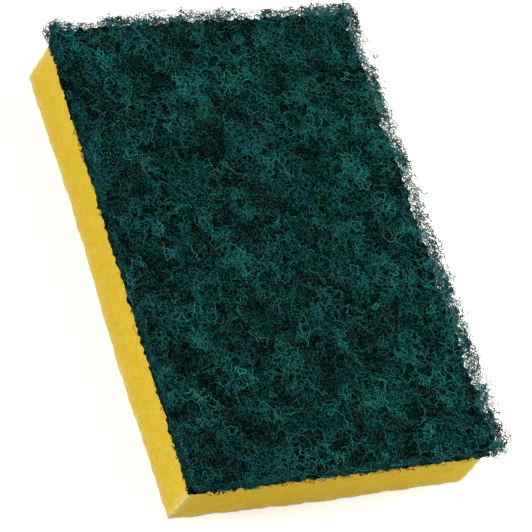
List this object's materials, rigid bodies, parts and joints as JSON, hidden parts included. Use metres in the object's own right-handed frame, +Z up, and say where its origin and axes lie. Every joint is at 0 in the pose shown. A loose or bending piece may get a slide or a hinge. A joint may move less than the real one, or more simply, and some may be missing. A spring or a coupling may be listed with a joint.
{
  "type": "sponge-backed scouring pad",
  "caption": "Rectangular hand scouring pad: a layer of green nylon fibre glued on a block of soft yellow sponge.",
  "frame": {"origin": "middle of the underside of the sponge, on the surface that the pad rests on", "axes": "+Y along the length, +X across the width, +Z up through the sponge to the fibre"},
  "size_m": [0.101, 0.153, 0.0281],
  "materials": {
    "yellow_sponge": "soft open-celled polyurethane foam, matt",
    "green_fibre": "non-woven crimped nylon fibre, coarse and open, with a slight shine on each fibre"
  },
  "bodies": {
    "root": {"sponge_block": "yellow_sponge", "scouring_layer": "green_fibre"}
  },
  "joints": []
}
